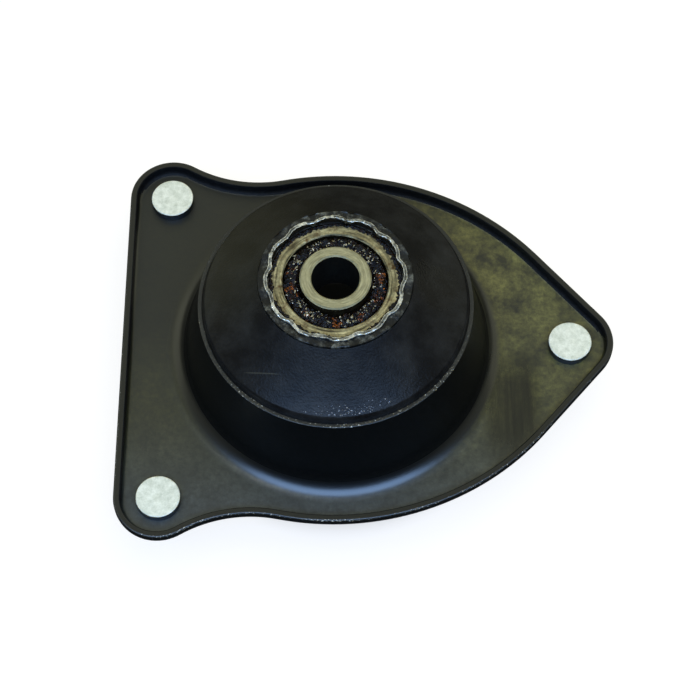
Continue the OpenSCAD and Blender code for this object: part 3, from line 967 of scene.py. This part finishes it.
def build_studs(matt, turned):
    """Press-in studs: flat head, plain shank in the plate and a cut thread below."""
    bm = bmesh.new()
    thread_r = STUD_D / 2
    thread_depth = 0.61 * STUD_PITCH
    root_r = thread_r - thread_depth
    shank_r = thread_r - 0.15
    press_r = STUD_PRESS_D / 2
    axis_r = 0.0001
    run_out = -1.4
    head_r = STUD_HEAD_D / 2
    head_z = PLATE_T + STUD_HEAD_H
    head_round = 0.45
    head_foot_round = 0.25
    revolve(
        bm,
        [
            (axis_r, head_z), (head_r, head_z), (head_r, PLATE_T), (press_r, PLATE_T),
            (press_r, 0), (shank_r, 0), (shank_r, run_out), (axis_r, run_out - 1),
        ],
        steps=64, closed=False,
    )
    tidy(bm)
    round_edges(bm, ring_edges(bm, head_r, head_z), head_round, segments=3)
    round_edges(bm, ring_edges(bm, head_r, PLATE_T), head_foot_round, segments=2)
    # The head's side is dark zinc as painted shade, and all else is matt
    for face in bm.faces:
        middle = face.calc_center_median()
        on_side = from_axis(middle) > head_r - 0.2 and middle.z < head_z - 0.3
        face.material_index = int(on_side)

    # One pitch of the thread, swept down in a helix
    thread = bmesh.new()
    turns = math.ceil(STUD_L / STUD_PITCH) + 2
    steps_a_turn = 28
    low = -STUD_L - STUD_PITCH
    flank = 0.39
    crest = 0.16
    root = STUD_PITCH - 2 * flank - crest
    geom = chain(
        thread,
        [
            (root_r, 0, low), (root_r, 0, low + root), (thread_r, 0, low + root + flank),
            (thread_r, 0, low + root + flank + crest), (root_r, 0, low + STUD_PITCH),
        ],
        False,
    )
    bmesh.ops.spin(
        thread, geom=geom, cent=(0, 0, 0), axis=(0, 0, 1), dvec=(0, 0, STUD_PITCH / steps_a_turn),
        angle=2 * math.pi * turns, steps=steps_a_turn * turns,
    )
    bmesh.ops.remove_doubles(thread, verts=thread.verts, dist=SEAM_DIST)
    for z, up in ((-STUD_L, -1), (run_out, 1)):
        cut = bmesh.ops.bisect_plane(
            thread, geom=thread.verts[:] + thread.edges[:] + thread.faces[:], plane_co=(0, 0, z),
            plane_no=(0, 0, up), clear_outer=True,
        )
        rim = [g for g in cut["geom_cut"] if isinstance(g, bmesh.types.BMEdge)]
        bmesh.ops.triangle_fill(thread, use_beauty=True, edges=rim, normal=(0, 0, up))
    # The tip is chamfered
    for v in thread.verts:
        allowed = thread_r - STUD_TIP_CHAMFER + (v.co.z + STUD_L)
        if from_axis(v.co) > allowed:
            set_from_axis(v, allowed)
    tidy(thread)
    thread_mesh = bpy.data.meshes.new("thread")
    thread.to_mesh(thread_mesh)
    thread.free()
    bm.from_mesh(thread_mesh)
    bpy.data.meshes.remove(thread_mesh)

    one = bm.verts[:] + bm.edges[:] + bm.faces[:]
    places = stud_places()
    for place in places[1:]:
        copy = bmesh.ops.duplicate(bm, geom=one)["geom"]
        points = [g for g in copy if isinstance(g, bmesh.types.BMVert)]
        bmesh.ops.translate(bm, vec=place - places[0], verts=points)
    bmesh.ops.translate(bm, vec=places[0], verts=bm.verts)
    piece("studs_threaded", bm, [matt, turned], "mount", ["studs"])


def drop(bm, place, radius, stretch, draw):
    """Adds a drop, drawn out to one side and turned at random, and returns its points."""
    turn = Matrix.Rotation(draw.uniform(0, math.pi), 4, "Z")
    form = Matrix.Translation(place) @ turn @ Matrix.Diagonal((stretch, 1.0, 0.8, 1.0))
    fine = 3 if radius > 0.2 else 2
    return bmesh.ops.create_icosphere(bm, subdivisions=fine, radius=radius, matrix=form)["verts"]


def build_bush(rubber, oil):
    """Rubber moulded between the neck and the housing, with beads of oil near its front edge, near
    white as painted glints.
    """
    bm = bmesh.new()
    inner_r = HOUSING_R + BOND_FILM
    rim_r = NECK_RIM_R - NECK_RIM_T - BOND_FILM
    edge_r = rim_r + NECK_INNER_LEAN * (NECK_H - BUSH_UNDERSIDE_Z)
    top = (inner_r, HOUSING_TOP_Z - COLLAR_BARE)
    shoulder_round = 0.45
    top_round = 0.3
    low = Vector((inner_r, HOUSING_LOW_Z))
    rim = Vector((edge_r, BUSH_UNDERSIDE_Z))
    half = (rim - low).length / 2
    radius = (half**2 + BUSH_UNDERSIDE_SAG**2) / (2 * BUSH_UNDERSIDE_SAG)
    across = Vector((low.y - rim.y, rim.x - low.x)).normalized()
    centre = (low + rim) / 2 - (radius - BUSH_UNDERSIDE_SAG) * across
    middle = math.degrees(math.atan2(across.y, across.x))
    span = math.degrees(math.asin(half / radius))
    underside = arc(centre, radius, middle + span, middle - span, steps=12)

    def cone_z(away):
        """Height of the cone's slightly hollow face at a distance from the axis."""
        share = (away - inner_r) / (BUSH_SHOULDER[0] - inner_r)
        return top[1] + share * (BUSH_SHOULDER[1] - top[1]) - 4 * BUSH_CONE_SAG * share * (1 - share)

    cone_steps = 8
    cone_w = BUSH_SHOULDER[0] - inner_r
    cone = [inner_r + cone_w * i / cone_steps for i in range(cone_steps - 1, 0, -1)]
    face = [(away, cone_z(away)) for away in cone]
    revolve(bm, [top, *underside, (rim_r, NECK_H), BUSH_SHOULDER, *face], steps=160)
    tidy(bm)
    round_edges(bm, ring_edges(bm, *BUSH_SHOULDER), shoulder_round, segments=4)
    round_edges(bm, ring_edges(bm, *top), top_round, segments=2)
    tidy(bm)
    piece("rubber_bush_moulded", bm, [rubber], "mount", ["rubber_bush"])
    # The beads lie thickest just inside the shoulder, and their pale colour is painted glints
    bm = bmesh.new()
    draw = random.Random(3)
    bead_count = 80
    for _ in range(bead_count):
        angle = math.radians(draw.gauss(-84, 9))
        away = draw.triangular(35.2, 38.3, 37.9)
        place = Vector((away * math.cos(angle), away * math.sin(angle), cone_z(away)))
        drop(bm, place, draw.triangular(0.05, 0.2, 0.08), draw.uniform(1, 2), draw)
    piece("bead_drops_painted_glints", bm, [oil], "mount", smooth_degrees=80)


def build_housing(dirty, burnished, grease_and_shade, rubbed):
    """Tube for the bearing: its thin lip is pushed in over the outer ring at every stake."""
    bm = bmesh.new()
    ridge_gap = 0.6
    edge_round = 0.25
    revolve(
        bm,
        [
            (FLOOR_R, HOUSING_LOW_Z), (HOUSING_R, HOUSING_LOW_Z), (HOUSING_R, HOUSING_TOP_Z),
            (HOUSING_R - ridge_gap, HOUSING_TOP_Z), (HOUSING_R - 2 * ridge_gap, HOUSING_TOP_Z),
            (STAKE_LIP_OUT_R, HOUSING_TOP_Z), (STAKE_LIP_OUT_R, STAKE_LIP_Z),
            (STAKE_LIP_IN_R, STAKE_LIP_Z), (STAKE_LIP_IN_R, OUTER_TOP_Z + 1),
            (STAKE_LIP_IN_R, OUTER_TOP_Z), (SEAT_R, OUTER_TOP_Z), (SEAT_R, OUTER_LOW_Z),
            (FLOOR_R, OUTER_LOW_Z),
        ],
        steps=288,
    )
    tidy(bm)
    bright = round_edges(bm, ring_edges(bm, STAKE_LIP_OUT_R, STAKE_LIP_Z), edge_round, segments=2)
    bright += round_edges(bm, ring_edges(bm, STAKE_LIP_IN_R, STAKE_LIP_Z), edge_round, segments=2)
    for face in bright:
        face.material_index = HOUSING_BURNISHED
    round_edges(bm, ring_edges(bm, HOUSING_R, HOUSING_TOP_Z), edge_round, segments=2)
    # Each stake dents the lip and the shoulder round it, the lip raggedly and with burrs
    for v in bm.verts:
        radius = from_axis(v.co)
        if v.co.z < OUTER_TOP_Z + 0.5 or radius > HOUSING_R - 0.1:
            continue
        angle = math.radians(STAKE_COUNT * (math.degrees(math.atan2(v.co.y, v.co.x)) - STAKE_PHASE))
        dent = (0.5 + 0.5 * math.cos(angle)) ** 2
        if radius < STAKE_LIP_OUT_R + 0.1:
            ragged = 1 + 0.5 * noise.noise(v.co * 0.35)
            burr = 0.16 * noise.noise(v.co * 1.3)
            if v.co.z > HOUSING_TOP_Z + 0.3:
                v.co.z += 0.3 * noise.noise(v.co * 1.1 + Vector((0, 50, 0))) - 0.15
            set_from_axis(v, radius - STAKE_PUSH * dent * ragged + burr)
        if radius > STAKE_LIP_IN_R + 0.5 and v.co.z < HOUSING_TOP_Z + 0.1:
            ridge = max(0.0, noise.noise(v.co * 0.7 + Vector((0, 0, 30))))
            v.co.z += 0.4 * ridge - STAKE_DEPTH * dent
    tidy(bm)
    # The lip's side towards the bearing is black with grease and painted shade, and its top is
    # burnished in patches
    for face in bm.faces:
        middle = face.calc_center_median()
        inward = points_in(face.normal, middle)
        if inward and abs(face.normal.z) < 0.5 and middle.z > OUTER_TOP_Z - 0.1:
            face.material_index = HOUSING_GREASE_AND_SHADE
        elif face.normal.z > 0.7 and middle.z > HOUSING_TOP_Z + 0.4 and face.material_index == 0:
            patch = noise.noise(middle * 0.3) > 0.22
            face.material_index = HOUSING_BURNISHED if patch else HOUSING_RUBBED
    piece(
        "bearing_housing_staked", bm, [dirty, burnished, grease_and_shade, rubbed], "mount",
        ["bearing_housing"],
    )


def build_rings(outer_material, inner_material, bore_material, wall_material):
    """The two rings with their races."""
    reach = math.degrees(math.acos((OUTER_ID_R - OUTER_RACE_C) / RACE_R))
    bm = bmesh.new()
    revolve(
        bm,
        [
            (OUTER_ID_R + RING_BORE_CHAMFER, OUTER_LOW_Z), (SEAT_R - RING_CHAMFER, OUTER_LOW_Z),
            (SEAT_R, OUTER_LOW_Z + RING_CHAMFER), (SEAT_R, OUTER_TOP_Z - RING_CHAMFER),
            (SEAT_R - RING_CHAMFER, OUTER_TOP_Z), (OUTER_ID_R + RING_BORE_CHAMFER, OUTER_TOP_Z),
            (OUTER_ID_R, OUTER_TOP_Z - RING_BORE_CHAMFER),
            *arc((OUTER_RACE_C, BALL_Z), RACE_R, reach, -reach, steps=8),
            (OUTER_ID_R, OUTER_LOW_Z + RING_BORE_CHAMFER),
        ],
        steps=160,
    )
    tidy(bm)
    # The ring's inner walls are dark with grease and painted shade
    for face in bm.faces:
        middle = face.calc_center_median()
        on_wall = from_axis(middle) < SEAT_R - 0.1 and abs(face.normal.z) < 0.6
        face.material_index = int(on_wall)
    piece(
        "bearing_outer_ring_ground", bm, [outer_material, wall_material], "mount",
        ["bearing_outer_ring"], smooth_degrees=30,
    )
    bm = bmesh.new()
    revolve(
        bm,
        [
            (BORE_R + RING_BORE_CHAMFER, INNER_LOW_Z), (INNER_OD_R - RING_BORE_CHAMFER, INNER_LOW_Z),
            (INNER_OD_R, INNER_LOW_Z + RING_BORE_CHAMFER),
            *arc((INNER_RACE_C, BALL_Z), RACE_R, 180 + reach, 180 - reach, steps=8),
            (INNER_OD_R, INNER_TOP_Z - RING_BORE_CHAMFER),
            (INNER_OD_R - RING_BORE_CHAMFER, INNER_TOP_Z), (BORE_R + RING_BORE_CHAMFER, INNER_TOP_Z),
            (BORE_R, INNER_TOP_Z - RING_BORE_CHAMFER), (BORE_R, INNER_LOW_Z + RING_BORE_CHAMFER),
        ],
        steps=128,
    )
    tidy(bm)
    # The bore is near black with oil and painted shade, and the wall is dark with grease and painted
    # shade
    for face in bm.faces:
        middle = face.calc_center_median()
        if from_axis(middle) < BORE_R + 0.1:
            face.material_index = INNER_RING_BORE
        elif abs(face.normal.z) < 0.6:
            face.material_index = INNER_RING_WALL
    piece(
        "bearing_inner_ring_turned", bm, [inner_material, bore_material, wall_material],
        "inner_ring", ["bearing_inner_ring"], smooth_degrees=30,
    )


def build_balls(material):
    """The balls, each on its own."""
    for i in range(BALL_COUNT):
        bm = bmesh.new()
        angle = math.radians(BALL_PHASE + i * 360 / BALL_COUNT)
        place = Matrix.Translation((PITCH_R * math.cos(angle), PITCH_R * math.sin(angle), BALL_Z))
        bmesh.ops.create_uvsphere(bm, u_segments=40, v_segments=24, radius=BALL_R, matrix=place)
        piece(f"ball_{i + 1}_polished", bm, [material], "cage", [f"ball_{i + 1}"])


def build_cage(material):
    """The cage's halves and rivets: merged copies of the CAD solids, with soft shading."""
    for name in ("cage_upper", "cage_lower", "cage_rivets"):
        bm = bmesh.new()
        bm.from_mesh(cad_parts[name].data)
        bmesh.ops.scale(bm, vec=(1 / MM, 1 / MM, 1 / MM), verts=bm.verts)
        bmesh.ops.remove_doubles(bm, verts=bm.verts, dist=MERGE_DIST)
        piece(f"{name}_pressed", bm, [material], "cage", [name], smooth_degrees=35)


def build_grease(dark, amber, pale):
    """Grease that fills the gap between the rings over the balls, in lumps, with drops on it."""
    bm = bmesh.new()
    low_r = INNER_OD_R + 0.3
    high_r = OUTER_ID_R - 0.3
    middle_r = (low_r + high_r) / 2
    half_width = 2.15
    half_height = 1.4
    circle = arc((0, 0), 1, 0, 345, steps=23)
    revolve(bm, [(middle_r + half_width * c, GREASE_Z + half_height * s) for c, s in circle], steps=480)
    tidy(bm)
    for v in bm.verts:
        lump = noise.noise(v.co * 0.5) * 0.9 + noise.noise(v.co * 1.3) * 0.7
        lump += noise.noise(v.co * 2.7) * 0.5
        rise = max(0.0, v.co.z - GREASE_Z + 0.4)
        v.co.z = min(v.co.z + lump * rise * 0.75, GREASE_TOP_Z)
        sway = noise.noise(v.co * 0.9 + Vector((40, 0, 0))) * 0.6
        set_from_axis(v, min(high_r, max(low_r, from_axis(v.co) + sway)))
    crests = [v.co.copy() for v in bm.verts if v.co.z > GREASE_Z + 0.9]
    piece("grease_dark", bm, [dark], "cage", smooth_degrees=80)
    # Where it has crept out, it clings in ragged lumps to the edge of the outer ring, and its dark also
    # paints the shade in the gap under the lip
    bm = bmesh.new()
    creep_r = SEAT_R - 0.55
    creep_w = 0.7
    creep_z = OUTER_TOP_Z - 0.1
    creep_h = 0.4
    circle = arc((0, 0), 1, 0, 330, steps=11)
    revolve(bm, [(creep_r + creep_w * c, creep_z + creep_h * s) for c, s in circle], steps=480)
    tidy(bm)
    for v in bm.verts:
        radius = from_axis(v.co)
        clump = noise.noise(v.co * 0.3) * 0.5 + noise.noise(v.co * 1.2) * 0.6
        clump += noise.noise(v.co * 2.6) * 0.3
        set_from_axis(v, min(SEAT_R + 0.3, radius - 0.8 * clump * (creep_r + creep_w - radius)))
        v.co.z += 0.25 * clump
    piece("crept_grease_and_shade", bm, [dark], "mount", smooth_degrees=80)
    # Oil shows amber in heaps; pale clots strewn with small pale flecks are painted glints.
    # Each heap: its angle, its distance from the axis, the number of its drops and their size
    amber_heaps = [
        (4, 13.3, 16, 0.5), (188, 13.3, 16, 0.45), (271, 13.6, 16, 0.5), (303, 13.8, 12, 0.4),
        (335, 13.2, 12, 0.42), (200, 13.2, 7, 0.35), (232, 14.0, 8, 0.3), (350, 13.2, 8, 0.3),
        (165, 13.4, 6, 0.28),
    ]
    glint_heaps = [
        (153, 11.9, 9, 0.36), (118, 12.3, 7, 0.24), (38, 12.2, 8, 0.3), (72, 11.9, 6, 0.26),
        (236, 13.6, 9, 0.34), (290, 13.3, 8, 0.3), (326, 12.9, 6, 0.22), (214, 13.3, 6, 0.22),
    ]
    draw = random.Random(5)
    glint_fleck_count = 190
    glint_flecks = [draw.triangular(0.06, 0.22, 0.1) for _ in range(glint_fleck_count)]
    heap_r = 1.5
    sorts = [("grease_amber", amber_heaps, [], amber), ("grease_painted_glints", glint_heaps, glint_flecks, pale)]
    for name, heaps, loose, material in sorts:
        bm = bmesh.new()
        drops = []
        for degrees, distance, count, size in heaps:
            angle = math.radians(degrees)
            heart = Vector((distance * math.cos(angle), distance * math.sin(angle)))
            ground = [c for c in crests if (c.xy - heart).length < heap_r]
            drops += [(draw.choice(ground), size * draw.uniform(0.6, 1.4), 1.0) for _ in range(count)]
        drops += [(draw.choice(crests), size, draw.uniform(1.5, 3)) for size in loose]
        for place, drop_r, stretch in drops:
            for v in drop(bm, place, drop_r, stretch, draw):
                swell = 0.9 + 0.6 * noise.noise(v.co * 1.9) + 0.3 * noise.noise(v.co * 4)
                v.co = place + (v.co - place) * swell
                set_from_axis(v, min(high_r, max(low_r, from_axis(v.co))))
        piece(name, bm, [material], "cage", smooth_degrees=80)


# Studio

def build_studio():
    """White floor under the stud tips, cool window in front, dim side panels, warm fill above."""
    bm = bmesh.new()
    floor_half = 6.0
    floor_gap = 0.0002
    bmesh.ops.create_grid(bm, x_segments=1, y_segments=1, size=floor_half)
    bmesh.ops.translate(bm, vec=(0, 0, -STUD_L * MM - floor_gap), verts=bm.verts)
    mesh = bpy.data.meshes.new("floor")
    bm.to_mesh(mesh)
    bm.free()
    mesh.materials.append(make_floor_paint())
    floor = bpy.data.objects.new("floor", mesh)
    bpy.context.scene.collection.objects.link(floor)

    # The air is white to the camera and dim to the part.
    # In reflections it is bright behind and dark in front
    world = bpy.data.worlds.new("studio_air")
    world.use_nodes = True
    world.node_tree.nodes.clear()
    path = add(world.node_tree, "ShaderNodeLightPath")
    direction = add(world.node_tree, "ShaderNodeTexCoord").outputs["Generated"]
    side = add(world.node_tree, "ShaderNodeSeparateXYZ", {"Vector": direction})
    backdrop = add(
        world.node_tree, "ShaderNodeMapRange",
        {"Value": side.outputs["Y"], "From Min": -0.8, "From Max": 1.0, "To Min": 0.01, "To Max": 0.52},
    )
    mirrored = add(
        world.node_tree, "ShaderNodeMath",
        {0: path.outputs["Is Glossy Ray"], 1: path.outputs["Is Transmission Ray"]}, operation="MAXIMUM",
    )
    level = add(
        world.node_tree, "ShaderNodeMapRange",
        {"Value": mirrored.outputs[0], "To Min": AIR, "To Max": backdrop.outputs[0]},
    )
    level = add(
        world.node_tree, "ShaderNodeMapRange",
        {"Value": path.outputs["Is Camera Ray"], "To Min": level.outputs[0], "To Max": 1.0},
    )
    tint = add(
        world.node_tree, "ShaderNodeMix",
        {
            MIX_FACTOR: path.outputs["Is Camera Ray"], MIX_A: (0.97, 1.0, 0.75, 1.0),
            MIX_B: (1.0, 1.0, 1.0, 1.0),
        },
        data_type="RGBA",
    )
    air = add(
        world.node_tree, "ShaderNodeBackground",
        {"Color": tint.outputs[MIX_OUT], "Strength": level.outputs[0]},
    )
    sky = world.node_tree.nodes.new("ShaderNodeOutputWorld")
    world.node_tree.links.new(air.outputs[0], sky.inputs["Surface"])
    bpy.context.scene.world = world

    # Each lamp: its name, place and size, the brightness of its face in red, green and blue,
    # and whether reflections show it
    lamps = [
        ("front_window", (0.0, -0.52, 0.86), (1.25, 0.47), (2.0, 3.35, 5.9), True),
        ("left_panel", (-0.8, 0.45, 0.45), (0.6, 0.6), (0.32, 0.33, 0.25), True),
        ("right_panel", (0.8, 0.45, 0.45), (0.6, 0.6), (0.25, 0.25, 0.18), True),
        ("ceiling_lamp", (-0.35, -0.1, 1.3), (0.1, 0.1), (22.0, 22.0, 18.0), True),
        ("top_fill", (0.2, 0.1, 1.2), (1.0, 1.0), (2.7, 2.2, 1.1), False),
    ]
    lit_place = Vector((0, 0, 0.02))
    for name, place, size, face, in_reflections in lamps:
        lamp = bpy.data.lights.new(name, "AREA")
        lamp.shape = "RECTANGLE"
        lamp.size, lamp.size_y = size
        brightest = max(face)
        lamp.energy = brightest * math.pi * size[0] * size[1]
        lamp.color = [c / brightest for c in face]
        holder = bpy.data.objects.new(name, lamp)
        holder.location = place
        aim = lit_place - Vector(place)
        holder.rotation_euler = aim.to_track_quat("-Z", "Y").to_euler()
        holder.visible_glossy = in_reflections
        bpy.context.scene.collection.objects.link(holder)

    lens = bpy.data.cameras.new("photo_camera")
    lens.sensor_width = 36.0
    lens.lens = 98.33
    camera = bpy.data.objects.new("photo_camera", lens)
    camera.location = (0.00418, -0.26804, 0.52453)
    camera.rotation_euler = (math.radians(27.025), 0, 0)
    bpy.context.scene.collection.objects.link(camera)
    bpy.context.scene.camera = camera
    bpy.context.scene.view_settings.view_transform = "Standard"


build_plate(
    make_electrocoat(),
    make_chipped_edge(),
    make_dull_coat("lip_dull_painted_shade", "#07080a", "#1c1e20", roughness=0.6, gloss=0.25),
    make_dull_coat("neck_wall_dull_painted_shade", "#070808", "#121211", roughness=0.45, gloss=0.2),
)
build_studs(
    make_zinc("matt_zinc_plate", "#c3cabc", "#eef2e9", metallic=0.2, roughness=0.5),
    # The heads' sides: dark zinc as painted shade
    make_zinc("zinc_side_painted_shade", "#3f4449", "#565b60", metallic=1.0, roughness=0.35),
)
build_bush(make_rubber(), make_grease("glint_painted_bead_oil", "#6f7888", "#e8ebf5", gloss=1.0))
shade_and_grease_steel = make_steel(
    "shade_and_grease_steel", "#2f2a1c", "#17130c", roughness=0.25, metallic=0.4, grit_depth=0.3, dirt_share=0.5
)
build_housing(
    make_steel(
        "dirty_staked_steel", "#6d706a", "#1e1f1e", roughness=0.45, metallic=0.3, grit_depth=0.6,
        dirt_share=0.84, dirt_colour="#0c0d0d",
    ),
    make_steel(
        "burnished_staked_steel", "#f2f2e6", "#b8b9ae", roughness=0.28, metallic=0.55, grit_depth=0.3,
        dirt_share=0.45, dirt_colour="#2b2c29",
    ),
    shade_and_grease_steel,
    make_steel(
        "rubbed_staked_steel", "#a0a29b", "#4a4c48", roughness=0.34, metallic=0.5, grit_depth=0.5,
        dirt_share=0.5, dirt_colour="#1a1b1a",
    ),
)
build_rings(
    make_steel(
        "ground_ring_steel", "#b8b38e", "#887e5c", roughness=0.34, metallic=0.5, grit_depth=0.25,
        dirt_share=0.45, dirt_colour="#4a3412", ring_mm=0.55, ring_depth=0.85,
    ),
    make_steel(
        "turned_ring_steel", "#aba888", "#9a9777", roughness=0.36, metallic=0.4, grit_depth=0.08,
        dirt_share=0.0, ring_mm=0.42, ring_depth=0.4,
    ),
    make_steel(
        "oiled_and_shaded_bore_steel", "#1c1b16", "#12110e", roughness=0.5, metallic=0.3, grit_depth=0.2,
        dirt_share=0.3,
    ),
    shade_and_grease_steel,
)
build_balls(
    make_steel(
        "polished_ball_steel", "#c4c7cb", "#b4b7bb", roughness=0.08, metallic=0.9, grit_depth=0.02,
        dirt_share=0.3,
    ),
)
build_cage(
    make_steel(
        "pressed_cage_steel", "#8b836a", "#6b6450", roughness=0.4, metallic=0.7, grit_depth=0.2,
        dirt_share=0.4,
    ),
)
build_grease(
    make_grease("dark_bearing_grease", "#080503", "#2c180b", gloss=0.5),
    make_grease("amber_bearing_grease", "#2a1204", "#c8701f", gloss=0.6),
    # Pale drops and flecks: painted glints
    make_grease("pale_grease_painted_glints", "#8d8668", "#fffaf0", gloss=0.6),
)
build_studio()
